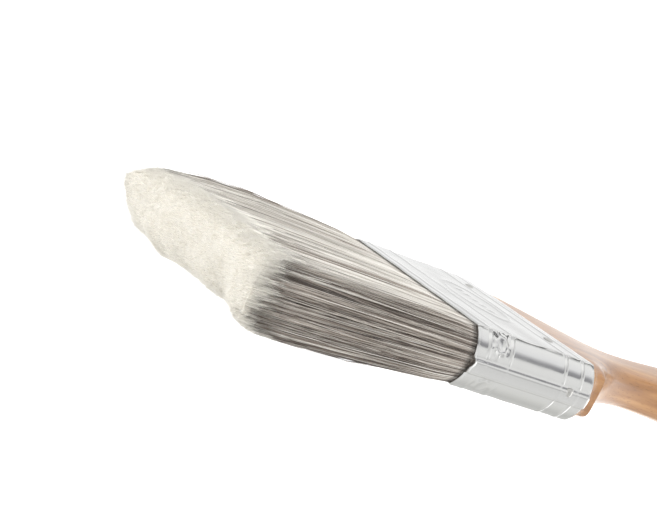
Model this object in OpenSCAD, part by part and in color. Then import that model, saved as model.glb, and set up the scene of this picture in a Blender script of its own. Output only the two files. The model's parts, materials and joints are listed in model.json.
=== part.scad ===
// Flat wall brush, 3 inch, lying on one of its wide faces.
// +X runs from the handle to the bristle tips, +Y is the narrow side with the lap seam,
// +Z is up, out of a wide face. The origin is the middle of the underside of the whole brush.

/* [Ferrule] */
// Overall width, over the two rounded narrow sides
ferrule_w = 76; // [60:1:100]
// Thickness over the two wide faces
ferrule_t = 19; // [16:0.5:22]
// How far each narrow side bulges past the edges of the wide faces
side_bulge = 4.6; // [3:0.2:6]
// Length of the metal band along the brush
ferrule_l = 48.5; // [44:0.5:56]
// Thickness of the sheet metal
sheet_t = 0.5; // [0.4:0.05:0.8]
// Height of the stiffening beads above the sheet
bead_h = 0.45; // [0.2:0.05:0.8]
// Width of a stiffening bead at its foot
bead_w = 2.4; // [1.6:0.2:3]

/* [Bristles] */
// Free length of the outermost filaments, from the mouth of the ferrule
free_l = 72; // [60:1:90]
// How much further the filaments in the middle of the tip reach
tip_crown = 8; // [2:0.5:10]
// Length of the flagged, light ends of the filaments, seen on the outside
flag_l = 6; // [3:0.5:12]
// Width of the bundle at its tip
tip_w = 80; // [70:1:96]
// Thickness of the bundle at its tip
tip_t = 21.5; // [19:0.5:26]
// Depth that the filament roots reach into the ferrule
root_l = 30; // [24:1:32]
// Gap that the bending bundle keeps from the fixed parts
flex_gap = 0.4; // [0.3:0.05:1]

/* [Spacers] */
// Thickness of a spacer plug
spacer_t = 2.6; // [1.5:0.1:3.5]
// Distance of a spacer's middle from the middle of the brush
spacer_z = 3.4; // [3:0.1:4.5]
// Depth of the paint reservoir, from the mouth to the spacers
reservoir_l = 6; // [3:0.5:12]

/* [Handle] */
// Length of the handle that shows behind the ferrule
handle_l = 140; // [110:1:170]
// Width of the shoulder that fills the back of the ferrule
shoulder_w = 70; // [56:1:72]
// Width of the neck, where the fingers close
neck_w = 25; // [20:1:32]
// Width of the rounded tail
tail_w = 38; // [30:1:46]
// Thickness at the shoulder
shoulder_t = 17.4; // [15:0.1:17.6]
// Thickness at the neck
neck_t = 14; // [11:0.5:17]
// Thickness at the palm swell
palm_t = 17; // [14:0.5:18]
// Thickness of the flat tail
tail_t = 12; // [9:0.5:14]
// Diameter of the hanging hole
hang_d = 8; // [5:0.5:10]
// Distance of the hanging hole from the end of the handle
hang_from_end = 13; // [10:0.5:18]

/* [Nails] */
// Diameter of a nail's shank
nail_d = 1.4; // [1.2:0.1:2]
// Diameter of a nail's head
nail_head_d = 3.2; // [2.6:0.1:4]
// Height of a nail's head
nail_head_h = 0.4; // [0.2:0.05:0.6]
// Length of a nail under its head
nail_l = 7; // [5:0.5:8]
// Distance of the wide-face nails from the middle of the brush
nail_y = 21; // [12:1:28]

/* [Hidden] */

$fn = 64;
eps = 0.01;

// Where the beads run round the ferrule, from its mouth
bead_at = [4.8, 13.6, 36, 43.2];
// Where the nails go, between the two beads at the back
nail_at = 39.6;
// The lap seam on the +Y side: the lower and the upper edge of the outer layer
lap_z = [-3.6, 0.8];
lap_h = 0.3;
// The pressed boss near the mouth on each narrow side
boss_at = 8.9;
boss_z = 6;
boss_r = 2.6;
// Clearance round the tongue and the nails
fit_gap = 0.05;
resin_l = 6;

// The brush's middle plane and the mouth of the ferrule, in the frame
mid_z = tip_t / 2;
overall_l = handle_l + ferrule_l + free_l + tip_crown;
mouth_x = overall_l / 2 - free_l - tip_crown;
back_x = mouth_x - ferrule_l;

// Cross-section of the ferrule: flat wide faces, narrow sides that are arcs
flat_half = ferrule_w / 2 - side_bulge;
side_r = (pow(ferrule_t / 2, 2) + pow(side_bulge, 2)) / (2 * side_bulge);
side_c = ferrule_w / 2 - side_r;
root_x = mouth_x - root_l;
tongue_x = root_x - resin_l;
spacer_inner = spacer_z - spacer_t / 2;
spacer_outer = spacer_z + spacer_t / 2;

// The bundle's size in the mouth, and how far it flares from there to the end of its crown
mouth_w = ferrule_w - 2 * sheet_t;
mouth_t = ferrule_t - 2 * sheet_t;
flare = (free_l + tip_crown) / free_l;

// The bending bundle turns about a line across the brush, just outside the mouth
hinge_r = mouth_t / 2;
hinge_x = mouth_x + hinge_r + flex_gap;
flag_x = mouth_x + free_l - flag_l;
tip_x = mouth_x + free_l;
// A circle through the edges and the crown of the tip, seen from the side
crown_r = (pow(tip_t / 2, 2) + pow(tip_crown, 2)) / (2 * tip_crown);

// Handle outline: the flanks are arcs from the shoulder to the neck
shoulder_l = 8;
neck_at = 48;
flank_u = neck_at - shoulder_l;
flank_drop = (shoulder_w - neck_w) / 2;
flank_r = (pow(flank_u, 2) + pow(flank_drop, 2)) / (2 * flank_drop);
palm_at = 92;
tail_flat_l = 26;

// Section of the brush grown by g, in the Y and Z directions
module section(g = 0) {
    intersection() {
        union() {
            square([2 * flat_half, ferrule_t + 2 * g], center = true);
            for (side = [-1, 1])
                translate([side * side_c, 0]) circle(side_r + g, $fn = 128);
        }
        square([ferrule_w + 2 * g + 2, ferrule_t + 2 * g], center = true);
    }
}

// A length of the section along X, from x0 to x1
module bar(x0, x1, g = 0) {
    translate([x0, 0, mid_z])
        rotate([90, 0, 90])
            linear_extrude(x1 - x0) section(g);
}

// The part of the space between two heights above the middle plane
module slab(x0, x1, z0, z1) {
    translate([x0 - 1, -ferrule_w, mid_z + z0])
        cube([x1 - x0 + 2, 2 * ferrule_w, z1 - z0]);
}

// A stiffening bead: a low step under a narrower top
module bead(at) {
    bar(mouth_x - at - bead_w / 2, mouth_x - at + bead_w / 2, bead_h / 2);
    bar(mouth_x - at - bead_w / 4, mouth_x - at + bead_w / 4, bead_h);
}

// Places one child on each wide face, at both nail positions
module at_face_nail(i) {
    up = i <= 2 ? 1 : -1;
    side = i % 2 == 1 ? 1 : -1;
    translate([mouth_x - nail_at, side * nail_y, mid_z])
        rotate([up > 0 ? 0 : 180, 0, 0])
            translate([0, 0, ferrule_t / 2]) children();
}

// Places one child on a narrow side; the nail on the +Y side goes through the lap
module at_side_nail(i) {
    side = i == 1 ? 1 : -1;
    seat = ferrule_w / 2 + (side > 0 ? lap_h : 0);
    translate([mouth_x - nail_at, side * seat, mid_z])
        rotate([-side * 90, 0, 0]) children();
}

// A domed head that sits on z = 0, over its shank
module nail() {
    dome_r = (pow(nail_head_d / 2, 2) + pow(nail_head_h, 2)) / (2 * nail_head_h);
    translate([0, 0, -nail_l]) cylinder(h = nail_l + nail_head_h / 2, d = nail_d);
    intersection() {
        translate([0, 0, nail_head_h - dome_r]) sphere(dome_r, $fn = 96);
        cylinder(h = 2 * nail_head_h, d = nail_head_d);
    }
}

module nail_hole() {
    translate([0, 0, -nail_l - 1]) cylinder(h = nail_l + 2, d = nail_d + 2 * fit_gap);
}

module nail_holes() {
    for (i = [1:4]) at_face_nail(i) nail_hole();
    for (i = [1:2]) at_side_nail(i) nail_hole();
}

module ferrule() {
    color("silver") difference() {
        union() {
            bar(back_x, mouth_x);
            for (at = bead_at) bead(at);
            lap_seam();
            for (side = [-1, 1]) pressed_boss(side);
        }
        bar(back_x - 1, mouth_x + 1, -sheet_t);
        nail_holes();
    }
}

// The outer layer of the sheet where its ends overlap, on the +Y side
module lap_seam() {
    intersection() {
        bar(back_x, mouth_x, lap_h);
        translate([back_x, 0, mid_z + lap_z[0]])
            cube([ferrule_l, ferrule_w, lap_z[1] - lap_z[0]]);
    }
}

// A shallow round boss, square to the curved narrow side
module pressed_boss(side) {
    angle = asin(boss_z / side_r);
    translate([mouth_x - boss_at, side * side_c, mid_z])
        rotate([-side * (90 - angle), 0, 0])
            cylinder(h = side_r + bead_h - 0.05, r = boss_r);
}

// Half the handle's thickness at a distance u behind the ferrule
function ease(a, b, t) = a + (b - a) * (1 - cos(180 * t)) / 2;
function half_t(u) =
    u < shoulder_l ? shoulder_t / 2 :
    u < neck_at ? ease(shoulder_t, neck_t, (u - shoulder_l) / (neck_at - shoulder_l)) / 2 :
    u < palm_at ? ease(neck_t, palm_t, (u - neck_at) / (palm_at - neck_at)) / 2 :
    u < handle_l - tail_flat_l ?
        ease(palm_t, tail_t, (u - palm_at) / (handle_l - tail_flat_l - palm_at)) / 2 :
    tail_t / 2;

// Outline from above, with u behind the ferrule along +X
module handle_plan() {
    tail_u = handle_l - tail_w / 2;
    difference() {
        translate([0, -shoulder_w / 2]) square([neck_at, shoulder_w]);
        for (side = [-1, 1])
            translate([neck_at, side * (neck_w / 2 + flank_r)]) circle(flank_r, $fn = 128);
    }
    polygon([[neck_at - eps, -neck_w / 2], [tail_u, -tail_w / 2],
             [tail_u, tail_w / 2], [neck_at - eps, neck_w / 2]]);
    translate([tail_u, 0]) circle(d = tail_w, $fn = 96);
}

// Outline from the side
module handle_side() {
    us = [for (i = [0:35]) i * handle_l / 35];
    polygon(concat([for (u = us) [u, half_t(u)]],
                   [for (i = [35:-1:0]) [us[i], -half_t(us[i])]]));
}

module handle() {
    color("burlywood") difference() {
        union() {
            // The grip behind the ferrule, never wider or thicker than the ferrule's inside
            intersection() {
                translate([back_x, 0, mid_z - ferrule_t]) mirror([1, 0, 0])
                    linear_extrude(2 * ferrule_t) handle_plan();
                translate([back_x, ferrule_w, mid_z]) mirror([1, 0, 0]) rotate([90, 0, 0])
                    linear_extrude(2 * ferrule_w) handle_side();
                bar(back_x - handle_l, back_x, -sheet_t - fit_gap);
            }
            // The tongue inside it
            bar(back_x - eps, tongue_x, -sheet_t - fit_gap);
        }
        translate([back_x - handle_l + hang_from_end, 0, mid_z - ferrule_t])
            cylinder(h = 2 * ferrule_t, d = hang_d);
        nail_holes();
    }
}

module resin_set() {
    color("tan") bar(tongue_x, root_x, -sheet_t - fit_gap);
}

// Both spacers lie between the mouth's reservoir and the resin
module spacer(side) {
    z0 = side > 0 ? spacer_inner : -spacer_outer;
    color("peru") intersection() {
        bar(root_x, mouth_x - reservoir_l, -sheet_t - fit_gap);
        slab(root_x, mouth_x, z0, z0 + spacer_t);
    }
}

// The roots of the filaments between the spacers and the sheet
module root_pack(z0, z1) {
    color("dimgray") intersection() {
        bar(root_x, mouth_x, -sheet_t - fit_gap);
        slab(root_x, mouth_x, z0, z1);
    }
}

// Thin section of the bundle at x, w wide and t thick, with narrow sides that bulge by b
module bundle_end(x, w, t, b) {
    r = (pow(t / 2, 2) + pow(b, 2)) / (2 * b);
    translate([x, 0, mid_z]) rotate([90, 0, 90]) linear_extrude(eps) intersection() {
        union() {
            square([w - 2 * b, t], center = true);
            for (side = [-1, 1]) translate([side * (w / 2 - r), 0]) circle(r, $fn = 96);
        }
        square([w, t], center = true);
    }
}

// The whole free bundle, before its root and its tip are rounded
module free_bundle() {
    hull() {
        bundle_end(mouth_x, mouth_w, mouth_t, side_bulge);
        bundle_end(tip_x + tip_crown, mouth_w + (tip_w - mouth_w) * flare,
                   mouth_t + (tip_t - mouth_t) * flare, side_bulge / 2);
    }
}

// A wide block with a round nose across the brush, r in radius
module nose(x, r) {
    translate([x, ferrule_w, mid_z]) rotate([90, 0, 0])
        cylinder(h = 2 * ferrule_w, r = r, $fn = 96);
}

module bristle_pack() {
    color("gray") intersection() {
        free_bundle();
        union() {
            nose(hinge_x, hinge_r);
            translate([hinge_x, -ferrule_w, mid_z - ferrule_t])
                cube([flag_x - hinge_x, 2 * ferrule_w, 2 * ferrule_t]);
        }
    }
}

module flagged_tips() {
    color("ivory") intersection() {
        free_bundle();
        nose(tip_x + tip_crown - crown_r, crown_r);
        translate([flag_x, -ferrule_w, mid_z - ferrule_t])
            cube([flag_l + tip_crown + 1, 2 * ferrule_w, 2 * ferrule_t]);
    }
}

handle();
ferrule();
resin_set();
spacer(1);  // spacer_upper
spacer(-1);  // spacer_lower
root_pack(spacer_outer, ferrule_t / 2);  // root_pack_upper
root_pack(-spacer_inner, spacer_inner);  // root_pack_middle
root_pack(-ferrule_t / 2, -spacer_outer);  // root_pack_lower
bristle_pack();
flagged_tips();
for (i = [1:4])
    at_face_nail(i) color("gainsboro") nail();
for (i = [1:2])
    at_side_nail(i) color("gainsboro") nail();
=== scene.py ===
"""A 3 inch flat wall brush: flagged synthetic filaments in a beaded steel ferrule on a beech handle.

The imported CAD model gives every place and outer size. This script dresses it: each sub-assembly is a
class that models its own pieces, and each finish is a small class that makes one material. Sizes are
in millimetres in the brush's own frame, and meshes are written in metres.
"""

import json
import logging
import math
from dataclasses import dataclass, field
from enum import Enum

import bmesh
import bpy
import numpy as np
from mathutils import Matrix, Vector

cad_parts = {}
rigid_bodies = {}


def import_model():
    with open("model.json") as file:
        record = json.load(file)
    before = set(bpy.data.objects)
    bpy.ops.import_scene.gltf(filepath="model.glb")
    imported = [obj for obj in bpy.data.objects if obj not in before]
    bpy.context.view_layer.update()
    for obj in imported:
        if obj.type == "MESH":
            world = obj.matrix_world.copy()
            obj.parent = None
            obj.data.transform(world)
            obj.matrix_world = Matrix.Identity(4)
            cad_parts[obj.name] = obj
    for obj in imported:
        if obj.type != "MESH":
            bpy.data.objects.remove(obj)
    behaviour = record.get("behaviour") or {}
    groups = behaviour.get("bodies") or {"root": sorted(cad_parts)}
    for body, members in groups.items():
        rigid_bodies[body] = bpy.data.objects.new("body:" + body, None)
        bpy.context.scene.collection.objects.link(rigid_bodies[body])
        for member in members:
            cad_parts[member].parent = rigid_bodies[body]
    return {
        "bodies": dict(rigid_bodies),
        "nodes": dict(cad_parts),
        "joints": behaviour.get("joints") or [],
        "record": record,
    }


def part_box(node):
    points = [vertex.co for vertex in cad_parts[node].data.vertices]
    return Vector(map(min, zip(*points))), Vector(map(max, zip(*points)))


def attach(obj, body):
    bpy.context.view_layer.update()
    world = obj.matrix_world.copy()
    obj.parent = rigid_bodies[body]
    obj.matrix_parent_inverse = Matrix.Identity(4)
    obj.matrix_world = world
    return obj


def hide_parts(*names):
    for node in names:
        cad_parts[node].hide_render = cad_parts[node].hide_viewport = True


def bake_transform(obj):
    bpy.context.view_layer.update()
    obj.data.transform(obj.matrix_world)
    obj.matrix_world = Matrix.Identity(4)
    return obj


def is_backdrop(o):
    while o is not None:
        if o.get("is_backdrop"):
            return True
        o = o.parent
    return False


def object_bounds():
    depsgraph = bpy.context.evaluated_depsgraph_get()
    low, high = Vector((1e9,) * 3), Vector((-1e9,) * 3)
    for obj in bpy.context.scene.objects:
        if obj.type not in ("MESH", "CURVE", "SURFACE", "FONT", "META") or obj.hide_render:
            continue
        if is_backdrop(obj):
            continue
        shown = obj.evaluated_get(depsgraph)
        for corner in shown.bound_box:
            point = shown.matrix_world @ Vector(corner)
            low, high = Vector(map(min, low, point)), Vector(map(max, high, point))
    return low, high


log = logging.getLogger("brush")

MM = 0.001
ROOT_BODY = "brush"
# The map that a strand's tone and its place along the strand are stored in.
STRAND_MAP = "OFBake"


# ---------------------------------------------------------------------------------------------
# Colours, nodes and meshes
# ---------------------------------------------------------------------------------------------


def linear(code: str) -> tuple[float, float, float, float]:
    """Turns an sRGB hex colour into linear RGBA.

    Args:
        code: The colour as six hex digits, such as "c8b49a".

    Returns:
        Linear red, green, blue and an alpha of 1.
    """
    channels = [int(code[i : i + 2], 16) / 255 for i in (0, 2, 4)]
    made = [c / 12.92 if c <= 0.04045 else ((c + 0.055) / 1.055) ** 2.4 for c in channels]
    return (made[0], made[1], made[2], 1.0)


def add_node(
    tree: bpy.types.NodeTree, kind: str, links: dict | None = None, stops: tuple = (), **settings
) -> bpy.types.Node:
    """Adds one node, sets it up and links its inputs.

    Args:
        tree: The node tree to add to.
        kind: The node's type, such as "ShaderNodeTexNoise".
        links: Input name or index to the output socket that feeds it, or to a plain value.
        stops: For a colour ramp, pairs of position and sRGB hex colour from low to high.
        settings: Properties of the node itself, such as data_type.

    Returns:
        The new node.
    """
    node = tree.nodes.new(kind)
    for name, value in settings.items():
        setattr(node, name, value)
    for index, (position, code) in enumerate(stops):
        elements = node.color_ramp.elements
        element = elements[index] if index < len(elements) else elements.new(1.0)
        element.position = position
        element.color = linear(code)
    for name, value in (links or {}).items():
        if isinstance(value, bpy.types.NodeSocket):
            tree.links.new(value, node.inputs[name])
        else:
            node.inputs[name].default_value = value
    return node


def noise(
    tree: bpy.types.NodeTree, size: float, stretch: tuple | None = None, **inputs: float
) -> bpy.types.NodeSocket:
    """Adds a noise pattern on Object coordinates.

    Args:
        tree: The node tree to add to.
        size: Width of one feature in millimetres.
        stretch: Scale along x, y and z, where less than 1 draws the pattern out along that axis.
        inputs: More inputs of the noise, such as Detail.

    Returns:
        The grey pattern.
    """
    where = add_node(tree, "ShaderNodeTexCoord").outputs["Object"]
    if stretch:
        where = add_node(tree, "ShaderNodeMapping", {"Vector": where, "Scale": stretch}).outputs["Vector"]
    links = {"Vector": where, "Scale": 1.0 / (size * MM), **inputs}
    return add_node(tree, "ShaderNodeTexNoise", links).outputs["Fac"]


def ramp(tree: bpy.types.NodeTree, value: bpy.types.NodeSocket, stops: tuple) -> bpy.types.NodeSocket:
    """Turns a grey value into a colour by pairs of position and sRGB hex colour."""
    return add_node(tree, "ShaderNodeValToRGB", {"Fac": value}, stops=stops).outputs["Color"]


def remap(
    tree: bpy.types.NodeTree,
    value: bpy.types.NodeSocket,
    source: tuple,
    target: tuple,
    kind: str = "LINEAR",
) -> bpy.types.NodeSocket:
    """Stretches a value's range.

    Args:
        tree: The node tree to add to.
        value: The value.
        source: The range that it comes in.
        target: The range that it leaves in.
        kind: How it runs between the two ends.

    Returns:
        The stretched value.
    """
    links = {
        "Value": value, "From Min": source[0], "From Max": source[1],
        "To Min": target[0], "To Max": target[1],
    }
    return add_node(tree, "ShaderNodeMapRange", links, interpolation_type=kind).outputs["Result"]


def mix(
    tree: bpy.types.NodeTree,
    share: bpy.types.NodeSocket,
    first: bpy.types.NodeSocket | tuple,
    second: bpy.types.NodeSocket | tuple,
) -> bpy.types.NodeSocket:
    """Mixes two colours: all of the first at a share of 0, all of the second at 1."""
    return add_node(
        tree, "ShaderNodeMix", {"Factor": share, 6: first, 7: second}, data_type="RGBA"
    ).outputs[2]


def bump(
    tree: bpy.types.NodeTree,
    height: bpy.types.NodeSocket,
    strength: float,
    distance: float,
    under: bpy.types.NodeSocket | None = None,
) -> bpy.types.NodeSocket:
    """Adds fine relief.

    Args:
        tree: The node tree to add to.
        height: The relief's pattern.
        strength: How much of it shows.
        distance: Its depth in millimetres.
        under: Coarser or finer relief that it is laid on.

    Returns:
        The bent normal.
    """
    links = {"Height": height, "Strength": strength, "Distance": distance * MM}
    if under:
        links["Normal"] = under
    return add_node(tree, "ShaderNodeBump", links).outputs["Normal"]


def blank_material(
    name: str, **sockets
) -> tuple[bpy.types.Material, bpy.types.NodeTree, bpy.types.Node]:
    """Makes a material with one Principled shader.

    Args:
        name: The finish's name.
        sockets: Plain values for the shader's sockets, with underscores for spaces.

    Returns:
        The material, its node tree and its shader.
    """
    material = bpy.data.materials.new(name)
    material.use_nodes = True
    tree = material.node_tree
    shader = tree.nodes["Principled BSDF"]
    for socket, value in sockets.items():
        shader.inputs[socket.replace("_", " ")].default_value = value
    return material, tree, shader


def deselect() -> None:
    """Leaves object mode as the mode, and nothing selected."""
    if bpy.context.object and bpy.context.object.mode != "OBJECT":
        bpy.ops.object.mode_set(mode="OBJECT")
    bpy.ops.object.select_all(action="DESELECT")


def activate(piece: bpy.types.Object) -> None:
    """Makes one object the only selected one and the active one."""
    deselect()
    piece.select_set(True)
    bpy.context.view_layer.objects.active = piece


def vertex_array(mesh: bpy.types.Mesh) -> np.ndarray:
    """Reads a mesh's points as an array of rows x, y, z."""
    flat = np.empty(len(mesh.vertices) * 3, np.float64)
    mesh.vertices.foreach_get("co", flat)
    return flat.reshape(-1, 3)


def close_up(piece: bpy.types.Object, distance: float = 0.002) -> None:
    """Merges doubled points and turns every face outwards.

    Args:
        piece: The object to mend.
        distance: Points nearer than this, in millimetres, become one.
    """
    activate(piece)
    bpy.ops.object.mode_set(mode="EDIT")
    bpy.ops.mesh.select_all(action="SELECT")
    bpy.ops.mesh.remove_doubles(threshold=distance * MM)
    bpy.ops.mesh.normals_make_consistent(inside=False)
    bpy.ops.object.mode_set(mode="OBJECT")


def apply_modifier(piece: bpy.types.Object, kind: str, **settings) -> None:
    """Adds a modifier, sets it up and applies it.

    Args:
        piece: The object to work on.
        kind: The modifier's type, such as "SOLIDIFY".
        settings: The modifier's properties.
    """
    activate(piece)
    modifier = piece.modifiers.new(kind.title(), kind)
    for name, value in settings.items():
        setattr(modifier, name, value)
    bpy.ops.object.modifier_apply(modifier=modifier.name)


def smooth(piece: bpy.types.Object, degrees: float = 40.0) -> None:
    """Shades a piece smooth, but keeps edges sharper than the given angle."""
    activate(piece)
    bpy.ops.object.shade_smooth_by_angle(angle=math.radians(degrees))


def sheet_grid(name: str, rows: int, columns: int) -> tuple[bpy.types.Object, np.ndarray, np.ndarray]:
    """Adds a flat grid, which its caller bends into a shape.

    Args:
        name: The new object's name.
        rows: Points along the grid's X.
        columns: Points along its Y.

    Returns:
        The object, and each point's row and column as whole numbers.
    """
    deselect()
    bpy.ops.mesh.primitive_grid_add(x_subdivisions=rows - 1, y_subdivisions=columns - 1, size=1)
    piece = bpy.context.object
    piece.name = name
    flat = vertex_array(piece.data)
    row = np.rint((flat[:, 0] + 0.5) * (rows - 1)).astype(int)
    column = np.rint((flat[:, 1] + 0.5) * (columns - 1)).astype(int)
    return piece, row, column


def place_points(piece: bpy.types.Object, points: np.ndarray) -> None:
    """Moves a mesh's points to places given in millimetres in the brush's frame."""
    piece.data.vertices.foreach_set("co", (points * MM).astype(np.float32).ravel())
    piece.data.update()


def smoothstep(low: float, high: float, value: np.ndarray) -> np.ndarray:
    """Rises smoothly from 0 at low to 1 at high."""
    part = np.clip((value - low) / (high - low), 0.0, 1.0)
    return part * part * (3 - 2 * part)


# ---------------------------------------------------------------------------------------------
# Where things are
# ---------------------------------------------------------------------------------------------


@dataclass(frozen=True)
class Layout:
    """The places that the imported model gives, in millimetres."""

    mouth_x: float
    back_x: float
    mid_z: float
    tail_x: float
    low: tuple[float, float, float]
    high: tuple[float, float, float]

    @classmethod
    def from_frame(cls) -> "Layout":
        """Reads the places from the boxes of the CAD nodes."""
        ferrule_low, ferrule_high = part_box("ferrule")
        handle_low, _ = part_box("handle")
        low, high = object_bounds()
        return cls(
            mouth_x=ferrule_high.x / MM,
            back_x=ferrule_low.x / MM,
            mid_z=(ferrule_low.z + ferrule_high.z) / 2 / MM,
            tail_x=handle_low.x / MM,
            low=tuple(c / MM for c in low),
            high=tuple(c / MM for c in high),
        )


@dataclass(frozen=True)
class Section:
    """A cross-section with flat wide faces and narrow sides that are arcs.

    width and thickness are overall, and bulge is how far each narrow side stands past the flat faces.
    """

    width: float
    thickness: float
    bulge: float

    @property
    def arc_radius(self) -> float:
        """Radius of a narrow side."""
        half = self.thickness / 2
        return (half**2 + self.bulge**2) / (2 * self.bulge)

    @property
    def arc_centre(self) -> float:
        """Distance of a narrow side's centre from the middle of the brush."""
        return self.width / 2 - self.arc_radius


FERRULE_SECTION = Section(76.0, 19.0, 4.6)
SHEET = 0.5


# ---------------------------------------------------------------------------------------------
# Finishes
# ---------------------------------------------------------------------------------------------


@dataclass(frozen=True)
class RolledSteel:
    """Bright-rolled stainless sheet, pressed into a ferrule.

    Rolling leaves it mirror-like with faint lines along the strip, and pressing and handling leave
    shallow waves and slightly duller patches.
    """

    name: str = "rolled_stainless"
    colour: str = "e3e3e1"
    line_pitch: float = 0.5
    wave_size: float = 9.0
    roughness: tuple = (0.09, 0.2)

    def build(self) -> bpy.types.Material:
        """Makes the material."""
        material, tree, shader = blank_material(self.name, Metallic=1.0, Base_Color=linear(self.colour))
        # The rolling lines run round the ferrule, so they are long in Y and Z and short in X.
        lines = noise(tree, self.line_pitch, (1.0, 0.04, 0.04), Detail=3.0)
        patches = noise(tree, self.wave_size)
        tree.links.new(remap(tree, patches, (0.35, 0.7), self.roughness), shader.inputs["Roughness"])
        fine = bump(tree, lines, 0.12, 0.02)
        tree.links.new(bump(tree, patches, 0.5, 0.06, fine), shader.inputs["Normal"])
        return material


@dataclass(frozen=True)
class NailSteel:
    """Bright drawn nail wire with a hammered head, a little duller than the sheet."""

    name: str = "bright_nail_steel"
    colour: str = "c9c8c4"
    dent_size: float = 0.8

    def build(self) -> bpy.types.Material:
        """Makes the material."""
        material, tree, shader = blank_material(
            self.name, Metallic=1.0, Base_Color=linear(self.colour), Roughness=0.3
        )
        tree.links.new(bump(tree, noise(tree, self.dent_size), 0.4, 0.05), shader.inputs["Normal"])
        return material


@dataclass(frozen=True)
class LacqueredBeech:
    """Turned and sanded beech under clear lacquer.

    Beech is pale and even, with growth bands along the handle and short dark ray flecks. The lacquer
    is smooth and slightly yellow, so the grain shows through a clear coat.
    """

    name: str = "lacquered_beech"
    band_width: float = 5.5
    fleck_width: float = 0.35
    tones: tuple = ((0.3, "7c522c"), (0.5, "946739"), (0.7, "a97d4b"))
    fleck_tone: str = "573519"

    def build(self) -> bpy.types.Material:
        """Makes the material."""
        material, tree, shader = blank_material(
            self.name, Roughness=0.45, IOR=1.5, Coat_Weight=0.7, Coat_Roughness=0.12
        )
        bands = noise(
            tree, self.band_width, (0.06, 1.0, 1.0), Detail=4.0, Roughness=0.6, Distortion=0.6
        )
        flecks = noise(tree, self.fleck_width, (0.12, 1.0, 1.0), Detail=1.0)
        fleck_share = remap(tree, flecks, (0.62, 0.72), (0.0, 0.45))
        colour = mix(tree, fleck_share, ramp(tree, bands, self.tones), linear(self.fleck_tone))
        tree.links.new(colour, shader.inputs["Base Color"])
        tree.links.new(bump(tree, flecks, 0.15, 0.03), shader.inputs["Normal"])
        return material


@dataclass(frozen=True)
class SawnWood:
    """Bare sawn softwood of the spacers: dry, pale, with coarse saw lines."""

    name: str = "sawn_spacer_wood"
    saw_pitch: float = 0.7
    tones: tuple = ((0.35, "a9855c"), (0.65, "cbab80"))

    def build(self) -> bpy.types.Material:
        """Makes the material."""
        material, tree, shader = blank_material(self.name, Roughness=0.85)
        saw = noise(tree, self.saw_pitch, (1.0, 0.1, 1.0))
        tree.links.new(ramp(tree, saw, self.tones), shader.inputs["Base Color"])
        return material


@dataclass(frozen=True)
class CastEpoxy:
    """Amber epoxy poured round the filament roots: glossy and faintly cloudy."""

    name: str = "cast_epoxy"
    cloud_size: float = 4.0
    tones: tuple = ((0.3, "7d5a2c"), (0.7, "a67f46"))

    def build(self) -> bpy.types.Material:
        """Makes the material."""
        material, tree, shader = blank_material(self.name, Roughness=0.2, IOR=1.55)
        cloud = noise(tree, self.cloud_size)
        tree.links.new(ramp(tree, cloud, self.tones), shader.inputs["Base Color"])
        return material


@dataclass(frozen=True)
class PackedFilament:
    """The mass of filaments behind the outer ones, and their roots.

    Close-packed filaments read as fine light and dark lines along the brush, so the pattern is stretched
    along X. Real ones are 0.2 mm wide; the lines here are as wide as they need to be to show.
    """

    name: str = "packed_filament"
    line_width: float = 0.5
    # These tones are darker than the outer strands': painted shade for the deep filaments, which show only
    # in shadowed gaps.
    dark: str = "3c3631"
    light: str = "8f867b"

    def build(self) -> bpy.types.Material:
        """Makes the material."""
        material, tree, shader = blank_material(self.name, Roughness=0.6)
        lines = noise(tree, self.line_width, (0.02, 1.0, 1.0), Detail=2.0)
        colour = ramp(tree, lines, ((0.38, self.dark), (0.62, self.light)))
        tree.links.new(colour, shader.inputs["Base Color"])
        tree.links.new(bump(tree, lines, 0.6, 0.1), shader.inputs["Normal"])
        return material


@dataclass(frozen=True)
class TaperedFilament:
    """Extruded, tapered polyester filament, flagged at its tip.

    The polymer is slightly glossy. Each strand has its own shade of taupe, and its last few millimetres
    are split into fine white hairs, which scatter light and read as cream. A strand's map holds its own
    tone across and its place from root (0) to tip (1) along.
    """

    name: str = "tapered_filament"
    tones: tuple = ((0.0, "3a332d"), (0.3, "5f544b"), (0.6, "8c8177"), (0.85, "b9b3aa"), (1.0, "dddad3"))
    flag_tones: tuple = ((0.0, "e6e2d7"), (1.0, "f6f3eb"))
    flag_start: float = 0.88
    flag_full: float = 0.9
    # Painted shade: the roots darken for about a millimetre outside the ferrule, in the mouth's shadowed
    # gap.
    root_end: float = 0.035
    root_shade: float = 0.05

    def build(self) -> bpy.types.Material:
        """Makes the material."""
        material, tree, shader = blank_material(self.name, Roughness=0.38, IOR=1.57)
        strand = add_node(tree, "ShaderNodeUVMap", uv_map=STRAND_MAP).outputs["UV"]
        parts = add_node(tree, "ShaderNodeSeparateXYZ", {"Vector": strand})
        tone, place = parts.outputs["X"], parts.outputs["Y"]
        # Painted shade at the mouth: the strand's colour is scaled down near its root.
        mouth_shade = remap(tree, place, (0.0, self.root_end), (self.root_shade, 1.0), "SMOOTHSTEP")
        body = add_node(
            tree, "ShaderNodeVectorMath", {0: ramp(tree, tone, self.tones), "Scale": mouth_shade},
            operation="SCALE",
        ).outputs["Vector"]
        whitening = remap(tree, place, (self.flag_start, self.flag_full), (0.0, 1.0), "SMOOTHSTEP")
        colour = mix(tree, whitening, body, ramp(tree, tone, self.flag_tones))
        tree.links.new(colour, shader.inputs["Base Color"])
        return material


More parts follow.
